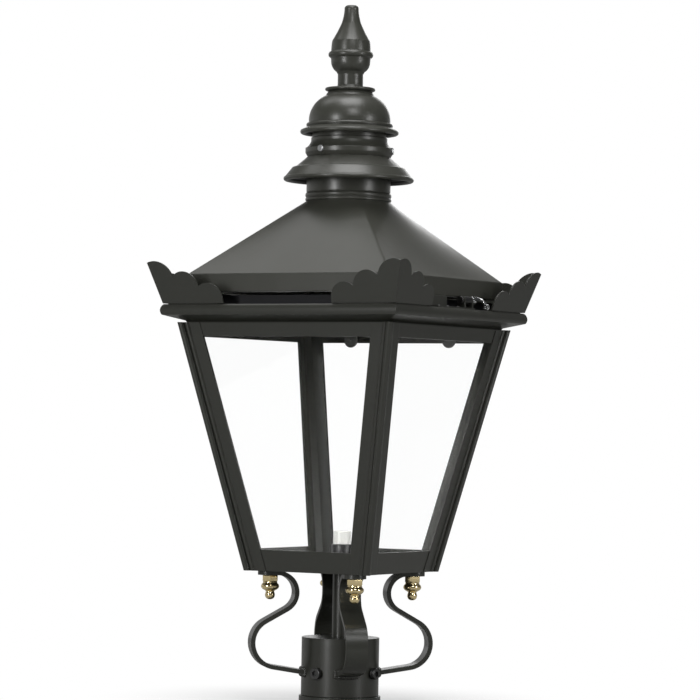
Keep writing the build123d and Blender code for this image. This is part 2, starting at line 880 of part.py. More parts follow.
def hinge_places():
    return [Pos(0, side * hinge_spacing / 2, 0) for side in (-1, 1)]


def fixed_leaf():
    """Upright leaf on the crown with the two end knuckles."""
    pin_x, pin_z = hinge_axis
    radius = knuckle_diameter / 2
    face = outline(
        (pin_x - radius, crown_top),
        (pin_x - radius, pin_z),
        (pin_x, pin_z),
        (pin_x - radius + leaf_thickness, pin_z - radius),
        (pin_x - radius + leaf_thickness, crown_top + leaf_thickness),
        (pin_x - radius + fixed_leaf_reach, crown_top + leaf_thickness),
        (pin_x - radius + fixed_leaf_reach, crown_top),
    )
    leaf = extrude(Plane.XZ * face, hinge_length / 2, both=True)
    leaf += along_wall(Cylinder(radius, hinge_length), hinge_axis)
    opening = Box(4 * radius, hinge_middle + 2 * hinge_end_gap, 2 * radius + 2 * hinge_end_gap)
    leaf -= Pos(pin_x, 0, pin_z) * opening
    return leaf - along_wall(Cylinder(hinge_pin_diameter / 2, far), hinge_axis)


def moving_leaf():
    """Leaf on the roof skirt with the middle knuckle."""
    pin_x, pin_z = hinge_axis
    radius = knuckle_diameter / 2
    knuckle = along_wall(Cylinder(radius, hinge_middle), hinge_axis)
    web = Pos((pin_x - lid_half) / 2, 0, pin_z) * Box(hinge_stand_off, hinge_middle, leaf_thickness)
    plate_middle = -lid_half - moving_leaf_thickness / 2
    plate = Pos(plate_middle, 0, eave_level - edge_break - moving_leaf_height / 2)
    plate *= Box(moving_leaf_thickness, hinge_middle, moving_leaf_height)
    leaf = knuckle + web + plate
    return leaf - along_wall(Cylinder(hinge_pin_diameter / 2 + running_clearance, far), hinge_axis)


def hinge_pin():
    return along_wall(Cylinder(hinge_pin_diameter / 2, hinge_length + 2 * edge_break), hinge_axis)


# ------------------------------------------------------------------ catch
def catch_bracket():
    """Plate on the crown with two ears for the catch's pin and a block that the roof rests on."""
    pin_x, pin_z = catch_axis
    end = catch_second_ear + catch_ear_thickness
    plate = Pos(pin_x, (catch_rest_start + end) / 2, crown_top)
    plate *= Box(
        catch_plate_width, end - catch_rest_start, catch_plate_thickness, align=(Align.CENTER, Align.CENTER, Align.MIN)
    )
    block_x = lid_half - catch_rest_lap + catch_rest_width / 2
    block = Pos(block_x, (catch_rest_start + catch_rest_end) / 2, crown_top)
    block *= Box(
        catch_rest_width,
        catch_rest_end - catch_rest_start,
        vent_gap - rest_gap,
        align=(Align.CENTER, Align.CENTER, Align.MIN),
    )
    plate += chamfer(block.edges().group_by(Axis.Z)[-1], edge_break)
    ear_radius = catch_pin_diameter / 2 + catch_ear_rim
    upright = pin_z - crown_top
    for place in (catch_first_ear, catch_second_ear):
        ear = Box(2 * ear_radius, catch_ear_thickness, upright, align=(Align.CENTER, Align.MIN, Align.MAX))
        crest = Pos(0, catch_ear_thickness / 2, 0) * Cylinder(ear_radius, catch_ear_thickness, rotation=(90, 0, 0))
        plate += Pos(pin_x, place, pin_z) * (ear + crest)
    return plate - along_wall(Cylinder(catch_pin_diameter / 2 + running_clearance, far), catch_axis)


def catch_pin():
    """Headed pin that turns in the ears and carries the cam and the lever."""
    pin_x, pin_z = catch_axis
    start = catch_first_ear - hinge_end_gap
    end = catch_second_ear + catch_ear_thickness + hinge_end_gap + lever_width
    shaft = Pos(pin_x, (start + end) / 2, pin_z) * Cylinder(
        catch_pin_diameter / 2, end - start, rotation=(90, 0, 0)
    )
    head = Cylinder(catch_pin_head_radius, catch_pin_head_height, rotation=(90, 0, 0))
    head = fillet(head.edges().group_by(Axis.Y)[0], edge_break)
    return shaft + Pos(pin_x, start - catch_pin_head_height / 2, pin_z) * head


def catch_cam():
    """Lobed cam between the ears that points at the lower edge of the skirt."""
    pin_x, pin_z = catch_axis
    width = catch_second_ear - catch_first_ear - catch_ear_thickness - 2 * hinge_end_gap
    middle = (catch_second_ear + catch_first_ear + catch_ear_thickness) / 2
    lobe_radius = catch_hub_radius / 2
    to_skirt = Vector(lid_half - pin_x, skirt_bottom - pin_z)
    tip = to_skirt.normalized() * (to_skirt.length - catch_cam_gap - lobe_radius)
    face = make_hull((Circle(catch_hub_radius) + Pos(tip.X, tip.Y) * Circle(lobe_radius)).edges())
    cam = extrude(Plane.XZ * face, width / 2, both=True)
    cam -= Cylinder(catch_pin_diameter / 2, far, rotation=(90, 0, 0))
    return Pos(pin_x, middle, pin_z) * cam


def catch_lever():
    """Curved lever that hangs over the crown's nose and ends in an eye."""
    pin_x, pin_z = catch_axis
    hub = catch_hub_radius
    reach = lever_reach
    eye_level = lever_eye_radius - lever_drop
    face = outline(
        (0, hub),
        ((0.62 * reach, 0.5 * hub), (reach + lever_thickness / 2, eye_level)),
        (reach - lever_thickness / 2, eye_level),
        ((0.62 * reach, -0.20 * hub), (0, -hub)),
    )
    lever = extrude(Plane.XZ * face, lever_eye_width / 2, both=True)
    lever += Cylinder(hub, lever_width, rotation=(90, 0, 0))
    lever += Pos(reach, 0, eye_level) * Cylinder(lever_eye_radius, lever_eye_width, rotation=(90, 0, 0))
    lever -= Pos(reach, 0, eye_level) * Cylinder(lever_eye_hole / 2, lever_width, rotation=(90, 0, 0))
    lever -= Cylinder(catch_pin_diameter / 2, far, rotation=(90, 0, 0))
    middle = catch_second_ear + catch_ear_thickness + hinge_end_gap + lever_width / 2
    return Pos(pin_x, middle, pin_z) * lever


# ------------------------------------------------------------------ places of moving parts
screw_level = collar_bottom + screw_rise
leg_azimuths = [turn - 45 + bracket_turn for turn in corner_turns]
screw_azimuths = [turn + bracket_turn for turn in corner_turns]
hinge_axis = (-lid_half - hinge_stand_off, crown_top + hinge_rise)
catch_axis = (lid_half + catch_pin_stand_off, crown_top + catch_pin_rise)
crest_free_half = crest_half - crest_length
catch_first_ear = catch_first_ear_share * crest_free_half
catch_second_ear = catch_second_ear_share * crest_free_half
catch_rest_start = catch_rest_start_share * crest_free_half
catch_rest_end = catch_rest_end_share * crest_free_half


def build():
    """Every node's name with its solid, or its list of separate solids."""
    nodes = {
        "mounting_collar": mounting_collar(),
        "collar_base_ring": collar_base_ring(),
        "collar_cap": collar_cap(),
        "corner_studs": corner_studs(),
        "floor_nuts": floor_nuts(),
        "brass_finial_nuts": brass_finial_nuts(),
        "bottom_rail": bottom_rail(),
        "floor_plate": floor_plate(),
        "top_rail": top_rail(),
        "pane_clips": pane_clips(),
        "cable_conduit": cable_conduit(),
        "conduit_locknuts": conduit_locknuts(),
        "lamp_holder_base": lamp_holder_base(),
        "lamp_holder": lamp_holder(),
        "lamp_contact": lamp_contact(),
        "crown_rail": crown_rail(),
        "lid_rests": lid_rests(),
        "roof_skirt": roof_skirt(),
        "roof_shell": roof_shell(),
        "chimney_neck": chimney_neck(),
        "lower_cowl": lower_cowl(),
        "chimney_bell": chimney_bell(),
        "upper_cowl": upper_cowl(),
        "dome_cap": dome_cap(),
        "cap_disc": cap_disc(),
        "finial": finial(),
        "chimney_spider": chimney_spider(),
        "spider_hangers": spider_hangers(),
        "chimney_tie_rod": chimney_tie_rod(),
        "tie_rod_nut": tie_rod_nut(),
        "bell_screws": bell_screws(),
        "hinge_fixed_leaves": [place * fixed_leaf() for place in hinge_places()],
        "hinge_moving_leaves": [place * moving_leaf() for place in hinge_places()],
        "hinge_pins": [place * hinge_pin() for place in hinge_places()],
        "catch_bracket": catch_bracket(),
        "catch_pin": catch_pin(),
        "catch_cam": catch_cam(),
        "catch_lever": catch_lever(),
    }
    leg = bracket_leg()
    bar = corner_bar()
    pane = glass_pane()
    crest = corner_crest()
    screw = set_screw()
    for number, turn in enumerate(corner_turns, start=1):
        nodes[f"bracket_leg_{number}"] = Rot(0, 0, leg_azimuths[number - 1]) * leg
        nodes[f"corner_bar_{number}"] = Rot(0, 0, turn - 90) * bar
        nodes[f"glass_pane_{number}"] = Rot(0, 0, turn) * pane
        nodes[f"corner_crest_{number}"] = Rot(0, 0, turn) * crest
        nodes[f"set_screw_{number}"] = Rot(0, 0, screw_azimuths[number - 1]) * screw
    return nodes


os.makedirs("parts", exist_ok=True)
for name, shape in build().items():
    if isinstance(shape, list):
        shape = Compound(children=[Part(piece.wrapped) for piece in shape])
    export_step(shape, f"parts/{name}.step")
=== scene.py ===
"""A traditional four sided post top lantern, dressed over its solid model.

Metres, +Z up, origin at the centre of the collar's foot. The walls face -Y, +X, +Y and -X. The
lid is hinged over the -X wall and the catch is over the +X wall. Corner 1 is at (+X, -Y), and
the numbers go round anticlockwise.
"""

import json
from math import cos, pi, radians, sin, sqrt

import bpy
from mathutils import Matrix, Vector


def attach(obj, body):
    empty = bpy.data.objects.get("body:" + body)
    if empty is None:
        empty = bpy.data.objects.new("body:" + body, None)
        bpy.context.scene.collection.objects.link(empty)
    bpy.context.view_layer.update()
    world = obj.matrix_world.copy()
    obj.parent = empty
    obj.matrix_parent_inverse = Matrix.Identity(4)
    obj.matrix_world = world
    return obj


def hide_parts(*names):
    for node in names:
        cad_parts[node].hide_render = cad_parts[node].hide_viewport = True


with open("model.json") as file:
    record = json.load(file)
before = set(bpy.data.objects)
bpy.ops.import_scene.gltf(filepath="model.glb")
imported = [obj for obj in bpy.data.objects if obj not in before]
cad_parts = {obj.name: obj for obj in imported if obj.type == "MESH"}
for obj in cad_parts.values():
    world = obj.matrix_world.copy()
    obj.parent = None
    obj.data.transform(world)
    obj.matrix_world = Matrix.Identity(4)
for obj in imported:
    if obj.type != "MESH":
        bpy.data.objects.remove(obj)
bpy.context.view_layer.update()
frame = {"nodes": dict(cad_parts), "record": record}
scene = bpy.context.scene
MM = 0.001

# ------------------------------------------------------------------ the photograph's view
VIEW_AZIMUTH = radians(30.56)  # from -Y towards +X
VIEW_PITCH = radians(1.285)  # upwards
VIEW_ROLL = radians(1.012)
VIEW_DISTANCE = 3.811
VIEW_SIDE = 0.005
VIEW_HEIGHT = 0.318
VIEW_LENS = 170.8
BRIGHT_SIDE_AZIMUTH = VIEW_AZIMUTH + radians(28.0)  # middle of the backdrop behind the object

# ------------------------------------------------------------------ colours, linear
COAT_COLOUR = (0.027, 0.028, 0.023)
# Painted light: the roof is the same powder coat as the frame, given a lighter colour for the
# overhead light that falls on it.
ROOF_COLOUR = (0.037, 0.038, 0.031)
DUST_COLOUR = (0.16, 0.155, 0.14)
# Painted shade: near black for the vent gap's shadow on the crown's inner lip.
VENT_SHADE_COLOUR = (0.003, 0.003, 0.005)
BRASS_COLOUR = (0.90, 0.74, 0.42)
TARNISH_COLOUR = (0.30, 0.17, 0.05)
GLASS_COLOUR = (0.996, 0.998, 0.997)
PORCELAIN_COLOUR = (0.62, 0.62, 0.59)
FITTING_COLOUR = (0.018, 0.018, 0.018)
BLACK_STEEL_COLOUR = (0.10, 0.10, 0.10)
ZINC_COLOUR = (0.62, 0.63, 0.64)
RUBBER_COLOUR = (0.020, 0.020, 0.020)
FLOOR_BOUNCE_COLOUR = (0.30, 0.30, 0.29)
FLOOR_SEEN_COLOUR = (0.80, 0.80, 0.80)
WHITE = (1.0, 1.0, 1.0)

COAT_IOR = 1.52
GLASS_IOR = 1.10
BEVEL_SAMPLES = 4

# Painted shade on the crown's inner lip, where the vent gap is in shadow, m. Each pair is where the
# shade's edge starts and ends.
VENT_SHADE_REACH = (0.1255, 0.1265)
VENT_SHADE_BOTTOM = (0.4508, 0.4520)
VENT_SHADE_TOP = (0.4625, 0.4640)

# ------------------------------------------------------------------ studio
CAMERA_CLIP_END = 60.0
FLOOR_HALF_SIZE = 8.0
FLOOR_FADE = (0.06, 0.30)  # from the axis, m
FLOOR_FOOT_WHITE = 0.55
MIRRORED_FLOOR_WHITE = 0.10
ROOM_LEVEL = 0.06
BACKDROP_LEVEL = 0.50
CEILING_LEVEL = 0.12
MIRRORED_LEVEL = 0.04
LIGHT_TARGET = Vector((0.0, 0.0, 0.42))
SOFTBOXES = (  # name, azimuth and elevation in degrees, distance, width and height in m, power
    ("overhead_light", 40.0, 82.0, 2.3, (1.4, 1.4), 36.0),
    ("rear_light", -87.0, 59.0, 2.6, (1.0, 1.0), 5.5),
    ("front_light", 42.0, 38.0, 2.8, (0.9, 0.9), 19.0),
    ("left_strip", -9.0, 8.0, 2.6, (0.24, 1.3), 29.0),
    ("back_light", 205.0, 20.0, 2.8, (1.4, 1.2), 14.0),
    ("right_strip", 88.0, 8.0, 2.6, (0.36, 1.3), 19.0),
)


# ------------------------------------------------------------------ node trees as expressions
def feed(tree, socket, value):
    """Gives a socket a link, an expression or a plain value."""
    if isinstance(value, Wire):
        value = value.socket
    if isinstance(value, bpy.types.NodeSocket):
        tree.links.new(value, socket)
        return
    if isinstance(value, tuple) and socket.type == "RGBA":
        value = (*value, 1.0)
    socket.default_value = value


def add_node(tree, kind, settings=(), sockets=()):
    """One node: its settings come first, then the values or links of its sockets."""
    node = tree.nodes.new(kind)
    for key, value in dict(settings).items():
        setattr(node, key, value)
    for key, value in dict(sockets).items():
        feed(tree, node.inputs[key], value)
    return node


class Wire:
    """A number that varies over a surface. Arithmetic on it adds Math nodes."""

    def __init__(self, tree, socket):
        self.tree = tree
        self.socket = socket

    def maths(self, operation, *terms, clamp=False):
        settings = {"operation": operation, "use_clamp": clamp}
        node = add_node(self.tree, "ShaderNodeMath", settings, dict(enumerate(terms)))
        return Wire(self.tree, node.outputs[0])

    def __add__(self, other):
        return self.maths("ADD", self, other)

    def __radd__(self, other):
        return self.maths("ADD", other, self)

    def __sub__(self, other):
        return self.maths("SUBTRACT", self, other)

    def __rsub__(self, other):
        return self.maths("SUBTRACT", other, self)

    def __mul__(self, other):
        return self.maths("MULTIPLY", self, other)

    def clamped(self):
        return self.maths("ADD", self, 0.0, clamp=True)

    def absolute(self):
        return self.maths("ABSOLUTE", self)

    def root(self):
        return self.maths("SQRT", self)

    def larger(self, other):
        return self.maths("MAXIMUM", self, other)

    def step(self, low, high):
        """0 below low and 1 above high, with a soft change between them."""
        sockets = {"Value": self, "From Min": low, "From Max": high}
        settings = {"interpolation_type": "SMOOTHSTEP"}
        node = add_node(self.tree, "ShaderNodeMapRange", settings, sockets)
        return Wire(self.tree, node.outputs[0])


class Finish:
    """A surface finish: a material and the patterns that its shader is fed with."""

    def __init__(self, name):
        self.material = bpy.data.materials.new(name)
        self.material.use_nodes = True
        self.tree = self.material.node_tree
        self.tree.nodes.clear()
        self.places = self.node("ShaderNodeTexCoord").outputs["Object"]
        self.normals = self.node("ShaderNodeNewGeometry").outputs["Normal"]

    def node(self, kind, settings=(), sockets=()):
        return add_node(self.tree, kind, settings, sockets)

    def wire(self, socket):
        return Wire(self.tree, socket)

    def split(self, vector):
        parts = self.node("ShaderNodeSeparateXYZ", sockets={0: vector}).outputs
        return [self.wire(part) for part in parts]

    def stretched(self, scale):
        mapping = self.node("ShaderNodeMapping", sockets={"Vector": self.places, "Scale": scale})
        return mapping.outputs[0]

    def noise(self, scale, detail=2.0, roughness=0.5, places=None):
        sockets = {
            "Vector": places or self.places,
            "Scale": scale,
            "Detail": detail,
            "Roughness": roughness,
        }
        return self.wire(self.node("ShaderNodeTexNoise", sockets=sockets).outputs[0])

    def cells(self, scale):
        sockets = {"Vector": self.places, "Scale": scale, "Randomness": 1.0}
        return self.wire(self.node("ShaderNodeTexVoronoi", sockets=sockets).outputs["Distance"])

    def blend(self, share, first, second):
        """Colour between two, by a share from 0 to 1."""
        sockets = {0: share, 6: first, 7: second}
        return self.node("ShaderNodeMix", {"data_type": "RGBA"}, sockets).outputs[2]

    def rounded(self, radius):
        """Normals that soften a sharp edge by a radius."""
        settings = {"samples": BEVEL_SAMPLES}
        return self.node("ShaderNodeBevel", settings, {"Radius": radius}).outputs[0]

    def relief(self, height, depth, under):
        sockets = {"Height": height, "Distance": depth, "Strength": 1.0, "Normal": under}
        return self.node("ShaderNodeBump", sockets=sockets).outputs[0]

    def surface(self, **sockets):
        named = {key.replace("_", " "): value for key, value in sockets.items()}
        return self.node("ShaderNodeBsdfPrincipled", sockets=named).outputs[0]

    def done(self, shader):
        self.node("ShaderNodeOutputMaterial", sockets={"Surface": shader})
        return self.material


# ------------------------------------------------------------------ finishes
# Every pattern's scale is in repeats per metre, and every relief's depth is in metres.
def powder_coat(name, colour, roughness, edge_radius):
    """Satin powder coat: orange peel, faint clouds, dust on level faces, painted shade in the vent
    gap.
    """
    coat = Finish(name)
    peel = coat.noise(650.0, detail=1.0)
    clouds = coat.noise(14.0, detail=4.0, roughness=0.6)
    runs = coat.noise(1.0, detail=3.0, places=coat.stretched((90.0, 90.0, 7.0)))
    specks = coat.noise(2400.0, detail=0.0).step(0.72, 0.80)
    upward = coat.split(coat.normals)[2]
    dust = (upward.step(0.35, 0.98) * clouds.step(0.30, 0.75) * 0.10 + specks * 0.05).clamped()
    x, y, z = coat.split(coat.places)
    # Painted shade: the crown's inner lip in the vent gap is darkened and made rougher, standing in
    # for its shadow.
    within = 1.0 - x.absolute().larger(y.absolute()).step(*VENT_SHADE_REACH)
    vent_shade = within * z.step(*VENT_SHADE_BOTTOM) * (1.0 - z.step(*VENT_SHADE_TOP))
    tint = coat.blend(vent_shade, coat.blend(dust, colour, DUST_COLOUR), VENT_SHADE_COLOUR)
    shine = roughness + (clouds - 0.5) * 0.06 + (runs - 0.5) * 0.05 + (dust + vent_shade) * 0.5
    relief = coat.relief(peel, 0.00004, under=coat.rounded(edge_radius))
    shader = coat.surface(Base_Color=tint, Roughness=shine, Normal=relief, IOR=COAT_IOR)
    return coat.done(shader)


def polished_brass(name):
    """Turned brass with fine lathe rings and tarnish in patches."""
    brass = Finish(name)
    stain = brass.noise(160.0, detail=4.0, roughness=0.6).step(0.45, 0.85)
    rings = brass.noise(1.0, detail=2.0, places=brass.stretched((60.0, 60.0, 4200.0)))
    tint = brass.blend(stain * 0.35, BRASS_COLOUR, TARNISH_COLOUR)
    shine = 0.10 + stain * 0.18 + (rings - 0.5) * 0.06
    relief = brass.relief(rings, 0.00002, under=brass.rounded(0.0003))
    shader = brass.surface(Base_Color=tint, Roughness=shine, Metallic=1.0, Normal=relief)
    return brass.done(shader)


def plated_steel(name, colour, roughness):
    """Zinc plated or polished steel with fine scratches and cloudy patches."""
    steel = Finish(name)
    clouds = steel.noise(220.0, detail=4.0, roughness=0.65)
    scratches = steel.noise(1.0, detail=3.0, places=steel.stretched((900.0, 2600.0, 500.0)))
    worn = tuple(channel * 0.6 for channel in colour)
    tint = steel.blend(clouds.step(0.45, 0.8) * 0.6, colour, worn)
    shine = roughness + (clouds - 0.5) * 0.16 + (scratches - 0.5) * 0.10
    relief = steel.relief(scratches, 0.00002, under=steel.rounded(0.0003))
    shader = steel.surface(Base_Color=tint, Roughness=shine, Metallic=1.0, Normal=relief)
    return steel.done(shader)


def float_glass(name):
    """Clear glass with the faintest smears. Light passes straight through to what it shades."""
    glass = Finish(name)
    smears = glass.noise(9.0, detail=5.0, roughness=0.7).step(0.45, 0.85)
    haze = smears * 0.03
    pane = glass.surface(
        Base_Color=GLASS_COLOUR, Roughness=haze, IOR=GLASS_IOR, Transmission_Weight=1.0
    )
    shade_ray = glass.node("ShaderNodeLightPath").outputs["Is Shadow Ray"]
    clear = glass.node("ShaderNodeBsdfTransparent").outputs[0]
    shader = glass.node("ShaderNodeMixShader", sockets={0: shade_ray, 1: pane, 2: clear})
    return glass.done(shader.outputs[0])


def glazed_porcelain(name):
    """White glaze with faint pinholes."""
    glaze = Finish(name)
    clouds = glaze.noise(90.0, detail=3.0)
    pinholes = glaze.cells(1400.0).step(0.0, 0.16)
    tint = glaze.blend((1.0 - pinholes) * 0.25, PORCELAIN_COLOUR, DUST_COLOUR)
    shine = 0.12 + clouds * 0.08
    relief = glaze.relief(clouds, 0.0001, under=glaze.rounded(0.0006))
    shader = glaze.surface(Base_Color=tint, Roughness=shine, Coat_Weight=0.4, Normal=relief)
    return glaze.done(shader)


def moulded(name, colour, roughness, grain):
    """Moulded plastic or rubber with a fine grain."""
    mould = Finish(name)
    pits = mould.noise(grain, detail=3.0)
    clouds = mould.noise(60.0, detail=3.0)
    lighter = tuple(channel * 2.2 for channel in colour)
    tint = mould.blend(clouds * 0.5, colour, lighter)
    shine = roughness + (pits - 0.5) * 0.15
    relief = mould.relief(pits, 0.00008, under=mould.rounded(0.0005))
    return mould.done(mould.surface(Base_Color=tint, Roughness=shine, Normal=relief))


finishes = {
    "black_paint": powder_coat("frame_powder_coat", COAT_COLOUR, 0.30, 0.0007),
    "roof_paint": powder_coat("roof_powder_coat", ROOF_COLOUR, 0.33, 0.0016),
    "brass": polished_brass("turned_brass"),
    "clear_glass": float_glass("clear_float_glass"),
    "porcelain": glazed_porcelain("white_porcelain"),
    "dark_fitting": moulded("black_fitting", FITTING_COLOUR, 0.35, 900.0),
    "black_steel": plated_steel("blackened_steel", BLACK_STEEL_COLOUR, 0.34),
    "bright_steel": plated_steel("zinc_plate", ZINC_COLOUR, 0.30),
    "polished_steel": plated_steel("polished_steel", ZINC_COLOUR, 0.16),
    "rubber": moulded("buffer_rubber", RUBBER_COLOUR, 0.65, 1500.0),
}


def dress_solids():
    """Every solid takes the finish of its material slot."""
    for part in frame["record"]["subparts"]:
        slots = frame["nodes"][part["node"]].data.materials
        slots.clear()
        slots.append(finishes[part["material_slot"]])


# ------------------------------------------------------------------ places on the solid model, mm
LEG_AZIMUTHS = (-49.0, 41.0, 131.0, 221.0)
COLLAR_RADIUS = 44.45
LEG_FOOT_LEVEL = 34.8
LEG_FOOT_HALF_WIDTH = 12.9
LEG_FOOT_HALF_HEIGHT = 3.0
LEG_WELD_STEPS = 8  # guide points on each side of a foot
WELD_BEAD_RADIUS = 2.6
WELD_RIPPLE_SPACING = 2.1
NUT_REACH = 82.8
NUT_TOP = 145.0
STUD_RADIUS = 3.0
STUD_THREAD = (160.1, 161.9)
STUD_PITCH = 1.0
STUD_RIDGE = 0.3
TIE_ROD_RADIUS = 4.0
TIE_ROD_THREADS = {"lower": (553.2, 556.8), "upper": (568.0, 606.0)}
TIE_ROD_PITCH = 1.25
TIE_ROD_RIDGE = 0.35
RIVET_HEAD = (2.2, 1.1)  # radius, height
SMALL_RIVET_HEAD = (1.7, 0.9)
CREST_FOOT_LINE = 146.0
CREST_FOOT_TOP = 452.0
CREST_RIVET_PLACES = (89.0, 133.0)
HINGE_SPACING = 90.0
FIXED_LEAF_TOP = 453.0
FIXED_LEAF_RIVET_LINE = -134.0
FIXED_LEAF_RIVET_REACH = 13.0
MOVING_LEAF_FACE = -135.0
MOVING_LEAF_RIVET_LEVEL = 470.6
MOVING_LEAF_RIVET_REACH = 4.6
CATCH_PLATE_TOP = 452.5
CATCH_RIVET_LINE = 142.6
CATCH_RIVET_PLACES = (-38.0, -18.0, 6.0)
CLIP_FACE = 123.0
CLIP_SPACING = 132.0
CLIP_RIVET_LEVEL = 418.5


def about_axis(degrees):
    return Matrix.Rotation(radians(degrees), 3, "Z")


def quarter_turns(points):
    """The same points at all four corners or walls."""
    return [about_axis(90 * quarter) @ Vector(point) for quarter in range(4) for point in points]


def pair_of_pairs(spacing, reach):
    """Two places on each of two fittings that stand a spacing apart."""
    return [side * spacing / 2 + end for side in (-1, 1) for end in (-reach, reach)]


# ------------------------------------------------------------------ recipes for what repeats
def new_recipe(name, inputs):
    """A Geometry Nodes tree with named inputs. Returns it with its inputs' sockets."""
    tree = bpy.data.node_groups.new(name, "GeometryNodeTree")
    tree.interface.new_socket("Geometry", in_out="INPUT", socket_type="NodeSocketGeometry")
    for label, kind in inputs.items():
        tree.interface.new_socket(label, in_out="INPUT", socket_type=f"NodeSocket{kind}")
    tree.interface.new_socket("Geometry", in_out="OUTPUT", socket_type="NodeSocketGeometry")
    return tree, tree.nodes.new("NodeGroupInput").outputs


def close_recipe(tree, instances, finish):
    """Every recipe ends as a real mesh in its finish."""
    real = add_node(tree, "GeometryNodeRealizeInstances", sockets={0: instances}).outputs[0]
    dressed = add_node(tree, "GeometryNodeSetMaterial", sockets={0: real, "Material": finish})
    add_node(tree, "NodeGroupOutput", sockets={0: dressed.outputs[0]})
    return tree


def smooth_lump(tree, radius):
    """Small round lump with smooth shading, for beads and rivet heads."""
    sockets = {"Radius": radius, "Subdivisions": 3}
    lump = add_node(tree, "GeometryNodeMeshIcoSphere", sockets=sockets).outputs[0]
    return add_node(tree, "GeometryNodeSetShadeSmooth", sockets={0: lump}).outputs[0]


def turn_along(tree, axis, direction):
    """Rotation that lays an axis along a direction."""
    sockets = {"Vector": direction}
    turn = add_node(tree, "FunctionNodeAlignRotationToVector", {"axis": axis}, sockets)
    return turn.outputs[0]


def weld_recipe():
    """Overlapping ripples of weld along a line, each a little different."""
    inputs = {
        "Bead Radius": "Float",
        "Ripple Spacing": "Float",
        "Seed": "Int",
        "Finish": "Material",
    }
    tree, given = new_recipe("weld_bead", inputs)
    line = add_node(tree, "GeometryNodeMeshToCurve", sockets={0: given["Geometry"]}).outputs[0]
    settings = {"mode": "LENGTH"}
    sockets = {"Curve": line, "Length": given["Ripple Spacing"]}
    places = add_node(tree, "GeometryNodeResampleCurve", settings, sockets).outputs[0]
    tangent = add_node(tree, "GeometryNodeInputTangent").outputs[0]
    settings = {"data_type": "FLOAT_VECTOR"}
    sockets = {0: (0.55, 0.75, 0.80), 1: (0.80, 1.15, 1.15), "Seed": given["Seed"]}
    sizes = add_node(tree, "FunctionNodeRandomValue", settings, sockets).outputs[0]
    sockets = {
        "Points": places,
        "Instance": smooth_lump(tree, given["Bead Radius"]),
        "Rotation": turn_along(tree, "X", tangent),
        "Scale": sizes,
    }
    ripples = add_node(tree, "GeometryNodeInstanceOnPoints", sockets=sockets).outputs[0]
    return close_recipe(tree, ripples, given["Finish"])


def rivet_recipe():
    """Low domed head on every point, turned the way that the point faces."""
    inputs = {"Head Radius": "Float", "Head Height": "Float", "Finish": "Material"}
    tree, given = new_recipe("rivet_heads", inputs)
    settings = {"data_type": "FLOAT_VECTOR"}
    facing = add_node(tree, "GeometryNodeInputNamedAttribute", settings, {"Name": "facing"})
    sockets = {"X": given["Head Radius"], "Y": given["Head Radius"], "Z": given["Head Height"]}
    size = add_node(tree, "ShaderNodeCombineXYZ", sockets=sockets).outputs[0]
    sockets = {
        "Points": given["Geometry"],
        "Instance": smooth_lump(tree, 1.0),
        "Rotation": turn_along(tree, "Z", facing.outputs[0]),
        "Scale": size,
    }
    heads = add_node(tree, "GeometryNodeInstanceOnPoints", sockets=sockets).outputs[0]
    return close_recipe(tree, heads, given["Finish"])


def thread_recipe():
    """Helical ridge of a screw thread, standing on every point."""
    numbers = dict.fromkeys(("Core Radius", "Length", "Turns", "Ridge"), "Float")
    tree, given = new_recipe("screw_thread", {**numbers, "Finish": "Material"})
    sockets = {
        "Resolution": 20,
        "Rotations": given["Turns"],
        "Start Radius": given["Core Radius"],
        "End Radius": given["Core Radius"],
        "Height": given["Length"],
    }
    helix = add_node(tree, "GeometryNodeCurveSpiral", sockets=sockets).outputs[0]
    sockets = {"Resolution": 6, "Radius": given["Ridge"]}
    ridge = add_node(tree, "GeometryNodeCurvePrimitiveCircle", sockets=sockets).outputs[0]
    sockets = {"Curve": helix, "Profile Curve": ridge, "Fill Caps": True}
    thread = add_node(tree, "GeometryNodeCurveToMesh", sockets=sockets).outputs[0]
    sockets = {"Points": given["Geometry"], "Instance": thread}
    threads = add_node(tree, "GeometryNodeInstanceOnPoints", sockets=sockets).outputs[0]
    return close_recipe(tree, threads, given["Finish"])


def place_piece(name, mesh, body):
    """A finished piece at the origin, riding on its body."""
    piece = bpy.data.objects.new(name, mesh)
    scene.collection.objects.link(piece)
    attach(piece, body)
    return piece


def follow_recipe(name, recipe, body, slot, points, sizes, edges=(), facing=None):
    """Runs a recipe on points in mm and keeps the result as a plain mesh."""
    guide = bpy.data.meshes.new(f"{name}_guide")
    guide.from_pydata([Vector(point) * MM for point in points], edges, [])
    if facing:
        directions = guide.attributes.new("facing", "FLOAT_VECTOR", "POINT")
        for entry, direction in zip(directions.data, facing):
            entry.vector = direction
    carrier = bpy.data.objects.new(f"{name}_guide", guide)
    scene.collection.objects.link(carrier)
    modifier = carrier.modifiers.new("recipe", "NODES")
    modifier.node_group = recipe
    values = {"Finish": finishes[slot], **sizes}
    for socket in recipe.interface.items_tree:
        if socket.in_out == "INPUT" and socket.name in values:
            modifier[socket.identifier] = values[socket.name]
    depsgraph = bpy.context.evaluated_depsgraph_get()
    mesh = bpy.data.meshes.new_from_object(carrier.evaluated_get(depsgraph), depsgraph=depsgraph)
    carrier.modifiers.remove(modifier)
    bpy.data.objects.remove(carrier)
    return place_piece(name, mesh, body)


# ------------------------------------------------------------------ welds, rivets and threads
def leg_weld_loop(azimuth):
    """Line round one leg's foot, on the collar's surface."""
    width, height = LEG_FOOT_HALF_WIDTH, LEG_FOOT_HALF_HEIGHT
    corners = [(-width, -height), (width, -height), (width, height), (-width, height)]
    turn = about_axis(azimuth)
    points = []
    for index, (side, rise) in enumerate(corners):
        next_side, next_rise = corners[(index + 1) % len(corners)]
        for step in range(LEG_WELD_STEPS):
            share = step / LEG_WELD_STEPS
            across = side + (next_side - side) * share
            level = LEG_FOOT_LEVEL + rise + (next_rise - rise) * share
            points.append(turn @ Vector((sqrt(COLLAR_RADIUS**2 - across**2), across, level)))
    return points


